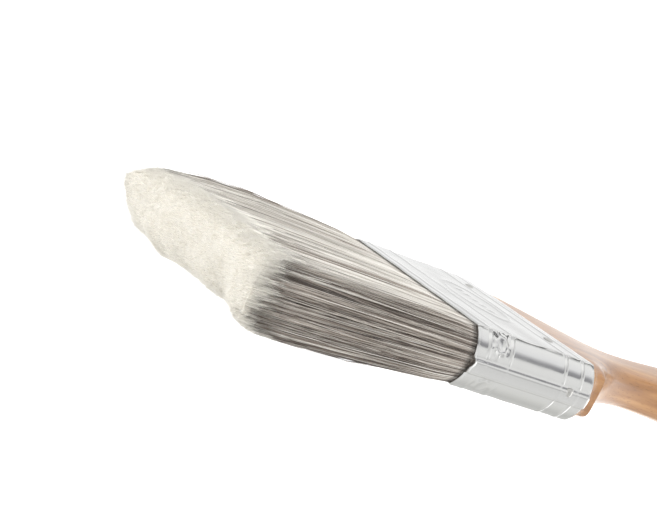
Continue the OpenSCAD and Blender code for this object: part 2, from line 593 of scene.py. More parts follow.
@dataclass(frozen=True)
class FlaggedDown:
    """The soft mass just under the flagged tips: split hairs so fine that they read as a cream felt."""

    name: str = "flagged_down"
    tuft_size: float = 3.0
    tones: tuple = ((0.35, "bbb6ab"), (0.6, "c1bdb4"))

    def build(self) -> bpy.types.Material:
        """Makes the material."""
        material, tree, shader = blank_material(
            self.name, Roughness=0.9, Subsurface_Weight=0.5, Subsurface_Scale=1.2 * MM,
            Subsurface_Radius=(1.0, 0.9, 0.8),
        )
        tufts = noise(tree, self.tuft_size)
        tree.links.new(ramp(tree, tufts, self.tones), shader.inputs["Base Color"])
        tree.links.new(bump(tree, tufts, 0.2, 0.2), shader.inputs["Normal"])
        return material


@dataclass(frozen=True)
class StudioPaper:
    """Matt white background paper with a barely visible tooth."""

    name: str = "studio_paper"
    tooth: float = 3.0
    tones: tuple = ((0.0, "f8f8f8"), (1.0, "fdfdfd"))

    def build(self) -> bpy.types.Material:
        """Makes the material."""
        material, tree, shader = blank_material(self.name, Roughness=0.95)
        grain = noise(tree, self.tooth)
        tree.links.new(ramp(tree, grain, self.tones), shader.inputs["Base Color"])
        return material


# ---------------------------------------------------------------------------------------------
# The ferrule
# ---------------------------------------------------------------------------------------------


@dataclass
class Ferrule:
    """One strip of sheet, rolled round the section, with beads, a lap, bosses and a plain emblem."""

    layout: Layout
    section: Section = FERRULE_SECTION
    sheet: float = SHEET
    corner_radius: float = 1.1
    bead_at: tuple = (4.8, 13.6, 36.0, 43.2)
    bead_width: float = 1.9
    bead_height: float = 0.4
    # On the wide faces a bead is lower and broader, and the lap's double sheet takes less of it.
    face_bead_share: float = 0.3
    face_bead_spread: float = 1.7
    lap_bead_share: tuple = (0.2, 0.5)
    # How far the two open edges are turned in, and over what length.
    lip_turn: float = 0.15
    lip_turn_l: float = 1.3
    back_turn: float = 0.15
    back_turn_l: float = 1.2
    lap_low: float = -3.6
    lap_high: float = 0.8
    lap_height: float = 0.5
    lap_edge: float = 0.3
    lap_ease: float = 0.5
    lap_ease_most: float = 0.9
    lap_spread: float = 0.03
    notch_depth: float = 0.9
    notch_half: float = 1.7
    notch_fade: float = 2.5
    boss_at: float = 8.9
    boss_z: float = 6.4
    boss_radius: float = 2.6
    boss_height: float = 0.34
    boss_dimple: float = 0.12
    pucker_height: float = 0.1
    pucker_count: int = 7
    low_boss_share: float = 0.45
    emblem_at: float = 25.5
    emblem_half: tuple = (7.5, 15.0)
    emblem_rim: float = 0.16
    pip_at: tuple = (-8.4, -4.2, 0.0, 4.2, 8.4)
    pip_height: float = 0.18
    pip_radius: float = 1.3
    wave_count: int = 6
    face_wave: float = 0.022
    side_wave: float = 0.006
    rows: int = 138
    face_columns: int = 100
    corner_columns: int = 7
    side_columns: int = 60
    seed: int = 11

    def outline(self) -> tuple[np.ndarray, np.ndarray, np.ndarray]:
        """Walks once round the section, from the middle of the upper face towards +Y.

        Returns:
            For each column its point inside the bend radius, its outward normal, and whether it lies
            on a narrow side (1 for +Y, -1 for -Y, 0 for the wide faces).
        """
        s, bend = self.section, self.corner_radius
        inner_half_t = s.thickness / 2 - bend
        inner_arc = s.arc_radius - bend
        steep = math.asin(inner_half_t / inner_arc)
        edge_y = s.arc_centre + inner_arc * math.cos(steep)
        points, normals, sides = [], [], []

        def add(y: float, z: float, ny: float, nz: float, side: int) -> None:
            """Adds one column: its point, its normal and its side."""
            points.append((y, z))
            normals.append((ny, nz))
            sides.append(side)

        def run(count: int) -> list[float]:
            """Divides a stretch evenly, from 0 up to but without 1."""
            return [i / count for i in range(count)]

        def corner(y: float, z: float, start: float, stop: float) -> None:
            """Fans the normals out round one bend, from one angle to the other."""
            for part in run(self.corner_columns):
                angle = start + (stop - start) * part
                add(y, z, math.cos(angle), math.sin(angle), 0)

        half_face = self.face_columns // 2
        for part in run(half_face):
            add(edge_y * part, inner_half_t, 0.0, 1.0, 0)
        corner(edge_y, inner_half_t, math.pi / 2, steep)
        for part in run(self.side_columns):
            angle = steep * (1 - 2 * part)
            add(s.arc_centre + inner_arc * math.cos(angle), inner_arc * math.sin(angle),
                math.cos(angle), math.sin(angle), 1)
        corner(edge_y, -inner_half_t, -steep, -math.pi / 2)
        for part in run(self.face_columns):
            add(edge_y * (1 - 2 * part), -inner_half_t, 0.0, -1.0, 0)
        corner(-edge_y, -inner_half_t, -math.pi / 2, -math.pi + steep)
        for part in run(self.side_columns):
            angle = -math.pi + steep * (1 - 2 * part)
            add(-s.arc_centre + inner_arc * math.cos(angle), inner_arc * math.sin(angle),
                math.cos(angle), math.sin(angle), -1)
        corner(-edge_y, inner_half_t, math.pi - steep, math.pi / 2)
        for part in run(half_face + 1):
            add(-edge_y * (1 - part), inner_half_t, 0.0, 1.0, 0)
        points[-1] = points[0]
        return np.array(points), np.array(normals), np.array(sides)

    def relief(self, depth: np.ndarray, y: np.ndarray, z: np.ndarray, side: np.ndarray) -> np.ndarray:
        """Height of the pressed shapes above the plain sheet.

        Args:
            depth: Distance from the mouth of each point.
            y: Its place across the brush.
            z: Its height above the middle plane.
            side: 1 on the +Y narrow side, -1 on the other, 0 elsewhere.

        Returns:
            The height of each point.
        """
        height = np.zeros_like(depth)
        for at in self.bead_at:
            wide = np.where(side == 0, self.face_bead_spread, 1.0) * self.bead_width / 2
            part = np.clip(np.abs(depth - at) / wide, 0, 1)
            height += self.bead_height * self.bead_share(at, z, side) * (0.5 + 0.5 * np.cos(np.pi * part))
        # The lap's upper edge lies tight at the mouth and eases off towards the handle.
        ease = np.minimum(self.lap_ease + self.lap_spread * depth, self.lap_ease_most)
        lap = smoothstep(self.lap_low - self.lap_edge, self.lap_low + self.lap_edge, z)
        lap *= 1 - smoothstep(self.lap_high - ease, self.lap_high + ease, z)
        height += np.where(side > 0, self.lap_height * lap, 0.0)
        bosses = self.boss(depth, z) + self.low_boss_share * self.boss(depth, -z)
        height += np.where(side != 0, bosses, 0.0)
        height += np.where((side == 0) & (z > 0), self.emblem(depth, y), 0.0)
        # The mouth's edge is turned in, and the back edge is sized down onto the wood.
        height -= self.lip_turn * (1 - smoothstep(0.0, self.lip_turn_l, depth))
        length = self.layout.mouth_x - self.layout.back_x
        height -= self.back_turn * smoothstep(length - self.back_turn_l, length, depth)
        return height

    def row_depths(self) -> np.ndarray:
        """Spaces the rows of points along the ferrule, closer together at the mouth and at each bead."""
        length = self.layout.mouth_x - self.layout.back_x
        fine = np.linspace(0.0, length, 2000)
        crowd = 1.0 + 3.0 * np.exp(-((fine / 1.2) ** 2))
        for at in self.bead_at:
            crowd += 4.0 * np.exp(-(((fine - at) / self.bead_width) ** 2))
        crowd += 1.5 * np.exp(-(((fine - self.boss_at) / self.boss_radius) ** 2))
        total = np.concatenate([[0.0], np.cumsum((crowd[1:] + crowd[:-1]) / 2)])
        return np.interp(np.linspace(0.0, total[-1], self.rows), total, fine)

    def bead_share(self, at: float, z: np.ndarray, side: np.ndarray) -> np.ndarray:
        """How much of a bead's full height is pressed at each place round the ferrule.

        Args:
            at: The bead's distance from the mouth.
            z: Height above the middle plane.
            side: 1 on the +Y narrow side, -1 on the other, 0 elsewhere.

        Returns:
            A share from 0 to 1, low on the wide faces and where the lap's two sheets lie.
        """
        narrow = smoothstep(0.0, 8.0, np.abs(z)) * 0.85 + 0.15
        mouth_bead = at < (self.layout.mouth_x - self.layout.back_x) / 2
        share = self.lap_bead_share[0 if mouth_bead else 1]
        low_lap = np.where((side > 0) & (z < 0), share, 1.0)
        return np.where(side == 0, self.face_bead_share, narrow * low_lap)

    def boss(self, depth: np.ndarray, z: np.ndarray) -> np.ndarray:
        """A round pressed boss with a dimple in it and puckers round it."""
        dx, dz = depth - self.boss_at, z - self.boss_z
        radius = np.hypot(dx, dz) / self.boss_radius
        around = np.arctan2(dz, dx)
        ring = np.exp(-(((radius - 0.75) / 0.28) ** 2))
        puckers = self.pucker_height * np.cos(self.pucker_count * around)
        puckers *= np.exp(-(((radius - 1.15) / 0.35) ** 2))
        dimple = self.boss_dimple * np.exp(-((radius / 0.4) ** 2))
        return self.boss_height * ring - dimple + puckers

    def emblem(self, depth: np.ndarray, y: np.ndarray) -> np.ndarray:
        """A plain oval rim with a row of round pips in it, pressed into the middle of the wide face."""
        dx = depth - self.emblem_at
        oval = np.hypot(dx / self.emblem_half[0], y / self.emblem_half[1])
        height = self.emblem_rim * np.exp(-(((oval - 1.0) / 0.08) ** 2))
        for at in self.pip_at:
            height += self.pip_height * np.exp(-((np.hypot(dx, y - at) / self.pip_radius) ** 2))
        return height

    def build(self) -> bpy.types.Object:
        """Rolls the strip, gives it its thickness and dresses it.

        Returns:
            The ferrule.
        """
        inner, normal, side = self.outline()
        columns = len(inner)
        piece, row, column = sheet_grid("ferrule_sheet", self.rows, columns)
        depth = self.row_depths()[row]
        y = inner[column, 0] + self.corner_radius * normal[column, 0]
        z = inner[column, 1] + self.corner_radius * normal[column, 1]
        height = self.relief(depth, y, z, side[column])
        # Hand-fed pressing leaves slow waves in the sheet.
        rng = np.random.default_rng(self.seed)
        for _ in range(self.wave_count):
            pitch, phase = rng.uniform(9, 30), rng.uniform(0, 6.3)
            lean = rng.uniform(-1, 1)
            wave = np.sin((depth + lean * y + z) * 2 * math.pi / pitch + phase)
            height += np.where(side[column] == 0, self.face_wave, self.side_wave) * wave
        points = np.empty((len(row), 3))
        notch = self.notch_depth * np.clip(1 - (z / self.notch_half) ** 2, 0, 1)
        notch *= np.exp(-depth / self.notch_fade)
        points[:, 0] = self.layout.mouth_x - depth - np.where(side[column] > 0, notch, 0.0)
        points[:, 1] = y + height * normal[column, 0]
        points[:, 2] = self.layout.mid_z + z + height * normal[column, 1]
        place_points(piece, points)
        close_up(piece)
        apply_modifier(piece, "SOLIDIFY", thickness=self.sheet * MM, offset=-1.0, use_even_offset=False)
        smooth(piece, 35)
        piece.data.materials.clear()
        piece.data.materials.append(RolledSteel().build())
        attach(piece, ROOT_BODY)
        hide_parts("ferrule")
        return piece


# ---------------------------------------------------------------------------------------------
# The handle
# ---------------------------------------------------------------------------------------------


@dataclass
class Handle:
    """The beavertail handle: wide shoulder, slim neck, palm swell and a round, drilled tail."""

    layout: Layout
    shoulder_half: float = 34.0
    # In the ferrule's back edge the wood is this much wider and thicker, so it fills the steel.
    fill_wide: float = 3.1
    fill_thick: float = 0.2
    fill_end: float = 3.5
    fit_gap: float = 0.15
    neck_half: float = 12.4
    tail_half: float = 18.9
    shoulder_l: float = 8.0
    neck_at: float = 48.0
    palm_at: float = 92.0
    # Half the thickness at the shoulder, the neck, the palm swell and the tail.
    thick_halves: tuple = (8.65, 6.95, 8.4, 5.95)
    end_round: float = 3.5
    tongue_l: float = 10.0
    tail_flat_l: float = 26.0
    hang_radius: float = 4.0
    hang_from_end: float = 13.0
    drill_l: float = 24.0
    rows: int = 150
    columns: int = 96

    def half_width(self, u: np.ndarray, length: float) -> np.ndarray:
        """Half the handle's width at a distance u behind the ferrule."""
        run = self.neck_at - self.shoulder_l
        drop = self.shoulder_half - self.neck_half
        radius = (run**2 + drop**2) / (2 * drop)
        inside = np.clip(u, self.shoulder_l, self.neck_at) - self.neck_at
        flank = self.neck_half + radius - np.sqrt(radius**2 - inside**2)
        tail_start = length - self.tail_half
        grown = self.neck_half + (self.tail_half - self.neck_half) * smoothstep(
            self.neck_at, tail_start, u
        )
        round_end = np.sqrt(np.clip(self.tail_half**2 - np.clip(u - tail_start, 0, None) ** 2, 0, None))
        return np.where(u < self.neck_at, flank, np.minimum(grown, round_end))

    def half_thickness(self, u: np.ndarray, length: float) -> np.ndarray:
        """Half the handle's thickness at a distance u behind the ferrule."""
        marks = [0, self.shoulder_l, self.neck_at, self.palm_at, length - self.tail_flat_l, length]
        shoulder, neck, palm, tail = self.thick_halves
        halves = [shoulder, shoulder, neck, palm, tail, tail]
        thick = np.full_like(u, halves[0])
        for a, b, at, to in zip(halves, halves[1:], marks, marks[1:]):
            thick += (b - a) * (0.5 - 0.5 * np.cos(np.pi * np.clip((u - at) / (to - at), 0, 1)))
        return thick

    def build(self) -> bpy.types.Object:
        """Shapes the handle, drills its hole and dresses it."""
        length = self.layout.back_x - self.layout.tail_x
        piece, row, column = sheet_grid("handle_body", self.rows, self.columns + 1)
        # Rows crowd towards the round tail, where the outline turns fastest.
        part = row / (self.rows - 1)
        u = -self.tongue_l + (length + self.tongue_l) * np.sin(part * math.pi / 2)
        angle = 2 * math.pi * column / self.columns
        fill = 1 - smoothstep(0.0, self.fill_end, u)
        wide = self.half_width(np.clip(u, 0, None), length) + self.fill_wide * fill
        thick = self.half_thickness(np.clip(u, 0, None), length) + self.fill_thick * fill
        # The edge of the tail is rounded over too.
        near_end = np.clip((length - u) / self.end_round, 0, 1)
        thick = thick * np.sqrt(1 - (1 - near_end) ** 2)
        # A squarish section at the shoulder, rounder along the grip.
        power = 0.3 + 0.28 * smoothstep(4.0, self.neck_at, u) - 0.14 * fill
        cos, sin = np.cos(angle), np.sin(angle)
        y = wide * np.sign(cos) * np.abs(cos) ** power
        z = thick * np.sign(sin) * np.abs(sin) ** power
        # The wood that fills the ferrule keeps clear of its curved sides.
        inner = FERRULE_SECTION.arc_radius - SHEET - self.fit_gap
        reach = FERRULE_SECTION.arc_centre + np.sqrt(inner**2 - np.clip(z, -9.0, 9.0) ** 2)
        points = np.empty((len(row), 3))
        points[:, 0] = self.layout.back_x - u
        points[:, 1] = np.clip(y, -reach, reach)
        points[:, 2] = self.layout.mid_z + z
        place_points(piece, points)
        close_up(piece, 0.01)
        self.drill(piece)
        smooth(piece, 32)
        piece.data.materials.clear()
        piece.data.materials.append(LacqueredBeech().build())
        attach(piece, ROOT_BODY)
        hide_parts("handle")
        return piece

    def drill(self, piece: bpy.types.Object) -> None:
        """Cuts the hanging hole straight through the handle."""
        at = (self.layout.tail_x + self.hang_from_end, 0.0, self.layout.mid_z)
        deselect()
        bpy.ops.mesh.primitive_cylinder_add(
            vertices=64, radius=self.hang_radius * MM, depth=self.drill_l * MM,
            location=[c * MM for c in at]
        )
        drill = bpy.context.object
        bpy.ops.object.transform_apply(location=True, rotation=True, scale=True)
        apply_modifier(piece, "BOOLEAN", operation="DIFFERENCE", object=drill, solver="EXACT")
        bpy.data.objects.remove(drill, do_unlink=True)


# ---------------------------------------------------------------------------------------------
# The bristles
# ---------------------------------------------------------------------------------------------


class Region(Enum):
    """Which part of the bundle a layer of strands fills."""

    UPPER_FACE = "upper_face"
    LOWER_FACE = "lower_face"
    NEAR_SIDE = "near_side"
    FAR_SIDE = "far_side"
    TIP_FIELD = "tip_field"


@dataclass
class Bundle:
    """The shape of the free bristles, from inside the mouth to the crowned tip.

    A place in the bundle is (u, v): u runs from -1 to 1 across its width, v from -1 to 1 through its
    thickness. The section grows from the mouth to the tip.
    """

    layout: Layout
    mouth: Section = Section(74.2, 17.4, 4.5)
    tip: Section = Section(79.2, 20.8, 2.2)
    # Near the tip the far upper corner is worn down by corner_droop. At the lower edge the near corner
    # hangs down by corner_sag, and a loose tuft by tuft_sag.
    corner_droop: float = 2.0
    corner_sag: float = 0.65
    tuft_sag: float = 0.8
    tuft_at: float = -0.38
    tuft_width: float = 0.11
    # The strands spread out by this much as soon as they are clear of the ferrule's edge.
    lip_swell: float = 1.3
    free_l: float = 72.0
    crown: float = 7.2
    # At the far end the crown's highest line lies here through the thickness, and is this much higher.
    far_top: float = 0.3
    far_crown: float = 1.2
    near_corner_cut: float = 1.2
    # Low and high spots of the trimmed tip: place across, height and spread.
    trim: tuple = ((-15.0, 1.5, 5.0), (5.0, -2.6, 9.0), (22.0, -4.6, 8.0))

    def spread(self, part: np.ndarray, u: np.ndarray, v: np.ndarray) -> tuple[np.ndarray, np.ndarray]:
        """Turns (u, v) into places across and through the bundle.

        Args:
            part: 0 in the mouth, 1 at the tip's edge.
            u: Place across.
            v: Place through the thickness.

        Returns:
            y and z above the middle plane.
        """
        swell = self.lip_swell * smoothstep(-0.01, 0.05, part)
        grown = 1 - (1 - part) ** 1.8
        width = self.mouth.width + swell + (self.tip.width - self.mouth.width - self.lip_swell) * grown
        thickness = (
            self.mouth.thickness + swell
            + (self.tip.thickness - self.mouth.thickness - self.lip_swell) * grown
        )
        bulge = self.mouth.bulge + (self.tip.bulge - self.mouth.bulge) * grown
        half = thickness / 2
        radius = (half**2 + bulge**2) / (2 * bulge)
        droop = smoothstep(0.68, 0.92, part) * smoothstep(-0.35, -0.85, u) * np.clip(v, 0.0, 1.0)
        droop *= 1 + 0.3 * smoothstep(0.85, 1.0, part) * smoothstep(-0.7, -0.97, u)
        z = v * half - self.corner_droop * droop
        low = smoothstep(-0.1, -1.0, v)
        z -= self.corner_sag * low * smoothstep(0.3, 0.85, part) * smoothstep(0.3, 0.85, u)
        tuft = np.exp(-(((u - self.tuft_at) / self.tuft_width) ** 2))
        z -= self.tuft_sag * low * smoothstep(0.8, 0.97, part) * tuft
        reach = width / 2 - radius + np.sqrt(np.clip(radius**2 - np.clip(z, -half, half) ** 2, 0, None))
        return u * reach, z

    def length_at(self, u: np.ndarray, v: np.ndarray) -> np.ndarray:
        """Free length of the strand that ends at (u, v): crowned in the middle, trimmed by hand."""
        y = u * self.tip.width / 2
        # Towards the far end the highest line of the crown moves up.
        far = smoothstep(-0.7, -0.97, u)
        above = (v - self.far_top) / (1 - self.far_top)
        below = (self.far_top - v) / (1 + self.far_top)
        from_top = np.clip(np.where(v > self.far_top, above, below), 0.0, 1.0)
        even = 1 - np.clip(np.abs(v), 0, 1) ** 3.0
        moved = self.far_crown - self.far_crown * from_top**1.5
        length = self.free_l + self.crown * (even + far * (moved - even))
        length -= self.near_corner_cut * np.clip(u, 0, 1) ** 14
        # The trim is uneven along the lower edge, and evens out towards the upper one.
        depth = smoothstep(0.9, -0.8, v)
        for at, height, wide in self.trim:
            length += height * depth * np.exp(-(((y - at) / wide) ** 2))
        return length


@dataclass
class StrandBlank:
    """One three-sided strand of unit length and radius, modelled once and copied for every strand."""

    segments: int
    points: np.ndarray = field(init=False)
    faces: np.ndarray = field(init=False)

    def __post_init__(self) -> None:
        """Models the blank, reads its points and faces, and removes it again."""
        deselect()
        bpy.ops.mesh.primitive_cylinder_add(vertices=3, radius=1, depth=1, location=(0, 0, 0.5))
        blank = bpy.context.object
        bpy.ops.object.transform_apply(location=True, rotation=True, scale=True)
        bpy.ops.object.mode_set(mode="EDIT")
        bpy.ops.mesh.select_all(action="DESELECT")
        mesh = bmesh.from_edit_mesh(blank.data)
        for edge in mesh.edges:
            edge.select_set(abs(edge.verts[0].co.z - edge.verts[1].co.z) > 0.5)
        bmesh.update_edit_mesh(blank.data)
        bpy.ops.mesh.subdivide(number_cuts=self.segments - 1)
        bpy.ops.mesh.select_all(action="DESELECT")
        bpy.ops.mesh.select_mode(type="VERT")
        mesh = bmesh.from_edit_mesh(blank.data)
        for vertex in mesh.verts:
            vertex.select_set(vertex.co.z > 1 - 1e-4)
        mesh.select_flush(True)
        bmesh.update_edit_mesh(blank.data)
        bpy.ops.mesh.merge(type="CENTER")
        bpy.ops.mesh.select_all(action="SELECT")
        bpy.ops.mesh.quads_convert_to_tris()
        bpy.ops.mesh.normals_make_consistent(inside=False)
        bpy.ops.object.mode_set(mode="OBJECT")
        self.points = vertex_array(blank.data)
        faces = np.empty(len(blank.data.polygons) * 3, np.int32)
        blank.data.polygons.foreach_get("vertices", faces)
        self.faces = faces.reshape(-1, 3)
        bpy.data.objects.remove(blank, do_unlink=True)


@dataclass
class Strands:
    """A layer of strands, each given by its root, its end and how it bends between them."""

    name: str
    bundle: Bundle
    region: Region
    count: int
    seed: int
    segments: int = 7
    depth: float = 1.7
    root_radius: float = 0.14
    tip_radius: float = 0.07
    # How far a strand's end wanders from its root's line, in parts of the bundle.
    wander: float = 0.02
    # The share of strands that cross their neighbours, and how much further these wander.
    crossing_share: float = 0.125
    crossing_wander: float = 3.0
    lock_pull: float = 0.22
    lock_size: float = 4.0
    length_jitter: float = 0.8
    # The share of pale strands in the blend, and the tones of the pale and the dark ones.
    pale_share: float = 0.5
    pale_tone: float = 0.68
    dark_tone: float = 0.28
    crowding: float = 1.5
    clump_width: float = 0.9
    # How much further in than usual the flagged stretch of these strands starts, in millimetres.
    flag_shift: float = 0.0
    # The flagged stretch is this much shorter or longer at these places of the bundle.
    low_side_shift: float = -6.0
    low_corner_shift: float = -4.5
    far_corner_shift: float = -2.5
    soft_tuft_shift: float = 6.5
    # How far past the tip's half width and half thickness a strand may reach.
    reach_past: tuple = (0.4, 0.65)

    def places(self, rng: np.random.Generator) -> tuple[np.ndarray, np.ndarray]:
        """Draws the (u, v) place of every root."""
        n = self.count
        half_t, half_w = self.bundle.tip.thickness / 2, self.bundle.tip.width / 2
        deep = rng.random(n) ** 1.4 * self.depth
        along = rng.uniform(-1, 1, n)
        if self.region is Region.UPPER_FACE:
            return along, 1 - deep / half_t
        if self.region is Region.LOWER_FACE:
            return along, -1 + deep / half_t
        if self.region is Region.NEAR_SIDE:
            return 1 - deep / half_w, along
        if self.region is Region.FAR_SIDE:
            return -1 + deep / half_w, along
        return along, rng.uniform(-1, 1, n)

    def lock_shift(self, u: np.ndarray, v: np.ndarray, rng: np.random.Generator) -> tuple[np.ndarray, ...]:
        """Gathers neighbouring ends into locks.

        Args:
            u: Place across of each end.
            v: Place through of each end.
            rng: The layer's own random numbers.

        Returns:
            The moved u and v, and each strand's lock as a whole number.
        """
        half_w, half_t = self.bundle.tip.width / 2, self.bundle.tip.thickness / 2
        area = 4 * half_w * half_t
        number = max(int(area / self.lock_size**2), 4)
        centres = np.stack([rng.uniform(-half_w, half_w, number), rng.uniform(-half_t, half_t, number)], 1)
        here = np.stack([u * half_w, v * half_t], 1)
        gap = ((here[:, None, :] - centres[None, :, :]) ** 2).sum(2)
        lock = gap.argmin(1)
        pull = self.lock_pull * np.exp(-gap.min(1) / (2 * self.lock_size**2))
        moved = here + (centres[lock] - here) * pull[:, None]
        return moved[:, 0] / half_w, moved[:, 1] / half_t, lock

    def build(self) -> bpy.types.Object:
        """Copies the blank along every strand's path.

        Returns:
            One mesh with all the strands of the layer.
        """
        rng = np.random.default_rng(self.seed)
        blank = StrandBlank(self.segments)
        n = self.count
        u0, v0 = self.places(rng)
        u1, v1, lock = self.lock_shift(u0, v0, rng)
        crossing = rng.random(n) < self.crossing_share
        wander = self.wander * np.where(crossing, self.crossing_wander, 1.0)
        u1 = np.clip(u1 + rng.normal(0, 1, n) * wander, -1, 1)
        v1 = np.clip(v1 + rng.normal(0, 3, n) * wander, -1, 1)
        lock_length = rng.normal(0, 0.7, lock.max() + 1)[lock]
        length = self.bundle.length_at(u1, v1) + lock_length + rng.normal(0, self.length_jitter, n)
        tone = self.tones(lock, rng)
        start = self.start_depth()
        flag = self.flagging(u1, v1, lock, rng)
        path = self.path_of(blank.points[:, 2], u0, v0, u1, v1, length, start, rng)
        return self.sweep(blank, path, tone, length, flag)

    def tones(self, lock: np.ndarray, rng: np.random.Generator) -> np.ndarray:
        """Draws each strand's shade from the blend of pale and dark strands.

        Args:
            lock: Each strand's lock.
            rng: The layer's own random numbers.

        Returns:
            Shades between 0 and 1.
        """
        n = len(lock)
        pale = rng.random(n) < self.pale_share
        tone = np.where(pale, self.pale_tone, self.dark_tone) + rng.normal(0, 0.11, n)
        return np.clip(tone + rng.normal(0, 0.06, lock.max() + 1)[lock], 0.02, 0.97)

    def flagging(
        self, u: np.ndarray, v: np.ndarray, lock: np.ndarray, rng: np.random.Generator
    ) -> np.ndarray:
        """Draws how much further in each strand's flagged stretch starts.

        Args:
            u: Place across of each end.
            v: Place through of each end.
            lock: Each strand's lock.
            rng: The layer's own random numbers.

        Returns:
            The shift of each strand in millimetres.
        """
        shift = self.flag_shift + rng.normal(0, 0.7, len(u)) + rng.normal(0, 1.5, lock.max() + 1)[lock]
        # Neighbours that cling together along their whole length are flagged alike.
        on_side = self.region in (Region.NEAR_SIDE, Region.FAR_SIDE)
        tip = self.bundle.tip
        across = (v + 1) * tip.thickness / 2 if on_side else (u + 1) * tip.width / 2
        clump = np.floor(across / self.clump_width).astype(int)
        shift = shift + rng.normal(0, 2.8, clump.max() + 1)[clump]
        # The lower near corner is hardly flagged at all.
        if self.region is Region.NEAR_SIDE:
            shift = shift + self.low_side_shift * smoothstep(0.6, -0.4, v)
        if self.region is Region.LOWER_FACE:
            shift = shift + self.low_corner_shift * smoothstep(0.55, 0.95, u)
        if self.region is Region.UPPER_FACE:
            y = u * self.bundle.tip.width / 2
            # One soft tuft lies over the dark strands, and the far corner is flagged the least.
            shift = shift + self.soft_tuft_shift * np.exp(-(((y - 6) / 4.5) ** 2))
            shift = shift + self.far_corner_shift * (1 - smoothstep(-24, -10, y))
        return shift

    def start_depth(self) -> float:
        """Where the strands start, in millimetres outside the mouth; inside it is negative."""
        return -3.0

    def path_of(
        self, s: np.ndarray, u0: np.ndarray, v0: np.ndarray, u1: np.ndarray, v1: np.ndarray,
        length: np.ndarray, start: np.ndarray | float, rng: np.random.Generator,
    ) -> np.ndarray:
        """Works out every strand's middle line at the blank's own heights.

        Args:
            s: Height of each blank point, from 0 at the root to 1 at the end.
            u0: Place across of each root.
            v0: Place through of each root.
            u1: Place across of each end.
            v1: Place through of each end.
            length: Free length of each strand.
            start: Where the strands start outside the mouth.
            rng: The layer's own random numbers.

        Returns:
            An array of strands by blank points by x, y, z.
        """
        n = len(u0)
        from_mouth = start[:, None] if isinstance(start, np.ndarray) else np.full((n, 1), start)
        # Points crowd towards the root, where a strand bends round the ferrule's edge.
        out = from_mouth + (length[:, None] - from_mouth) * s[None, :] ** self.crowding
        part = np.clip(out / self.bundle.free_l, 0, 1.1)
        u = u0[:, None] + (u1 - u0)[:, None] * part**1.2
        v = v0[:, None] + (v1 - v0)[:, None] * part**1.2
        y, z = self.bundle.spread(np.clip(part, 0, 1), u, v)
        bow = rng.normal(0, 0.16, (n, 2))
        wave = np.sin(np.pi * np.clip(part, 0, 1))
        y = y + bow[:, :1] * wave
        z = z + bow[:, 1:] * wave
        half_w = self.bundle.tip.width / 2 + self.reach_past[0]
        half_t = self.bundle.tip.thickness / 2 + self.reach_past[1]
        path = np.empty((n, len(s), 3))
        path[..., 0] = self.bundle.layout.mouth_x + out
        path[..., 1] = np.clip(y, -half_w, half_w)
        path[..., 2] = self.bundle.layout.mid_z + np.clip(z, -half_t, half_t)
        return path

    def sweep(
        self, blank: StrandBlank, path: np.ndarray, tone: np.ndarray, length: np.ndarray, flag: np.ndarray
    ) -> bpy.types.Object:
        """Writes the strands as one mesh, with each strand's tone and place along it in its map.

        Args:
            blank: The strand that is copied.
            path: Middle lines, strands by blank points by x, y, z.
            tone: Shade of each strand, 0 to 1.
            length: Free length of each strand.
            flag: How much further in each strand's flagged stretch starts.

        Returns:
            The new object.
        """
        n, m = path.shape[:2]
        rng = np.random.default_rng(self.seed + 500)
        s = blank.points[:, 2]
        radius = self.root_radius + (self.tip_radius - self.root_radius) * s**1.3
        size = rng.uniform(0.75, 1.2, n)
        turn = rng.uniform(0, 2 * math.pi, n)
        x0, y0 = blank.points[:, 0], blank.points[:, 1]
        cos, sin = np.cos(turn)[:, None], np.sin(turn)[:, None]
        points = path.copy()
        points[..., 1] += (x0 * cos - y0 * sin) * radius * size[:, None]
        points[..., 2] += (x0 * sin + y0 * cos) * radius * size[:, None]
        faces = (blank.faces[None] + (np.arange(n) * m)[:, None, None]).reshape(-1, 3)
        mesh = bpy.data.meshes.new(self.name)
        mesh.vertices.add(n * m)
        mesh.vertices.foreach_set("co", (points * MM).astype(np.float32).ravel())
        mesh.loops.add(faces.size)
        mesh.loops.foreach_set("vertex_index", faces.astype(np.int32).ravel())
        mesh.polygons.add(len(faces))
        mesh.polygons.foreach_set("loop_start", np.arange(0, faces.size, 3, dtype=np.int32))
        mesh.polygons.foreach_set("use_smooth", np.ones(len(faces), bool))
        mesh.update(calc_edges=True)
        along = self.place_along(path, length, flag)
        across = tone[:, None] + 0.012 * x0[None, :]
        where = np.stack([across, along], 2).reshape(-1, 2)
        layer = mesh.uv_layers.new(name=STRAND_MAP)
        layer.data.foreach_set("uv", where[faces.ravel()].astype(np.float32).ravel())
        piece = bpy.data.objects.new(self.name, mesh)
        bpy.context.scene.collection.objects.link(piece)
        return piece

    def place_along(self, path: np.ndarray, length: np.ndarray, flag: np.ndarray) -> np.ndarray:
        """Gives each point's place along its strand for the map.

        The root end counts from the mouth, so that the painted shade at the mouth ends at the same depth
        everywhere, and the other end counts back from the strand's own tip.

        Args:
            path: Middle lines, strands by blank points by x, y, z.
            length: Free length of each strand.
            flag: How much further in each strand's flagged stretch starts.

        Returns:
            Places from 0 at the mouth to 1 at the tip, strands by blank points.
        """
        out = path[..., 0] - self.bundle.layout.mouth_x
        from_tip = self.bundle.free_l - (length[:, None] - out) + flag[:, None]
        mixed = np.where(out < self.bundle.free_l / 2, out, from_tip)
        return np.clip(mixed / self.bundle.free_l, 0.0, 1.0)


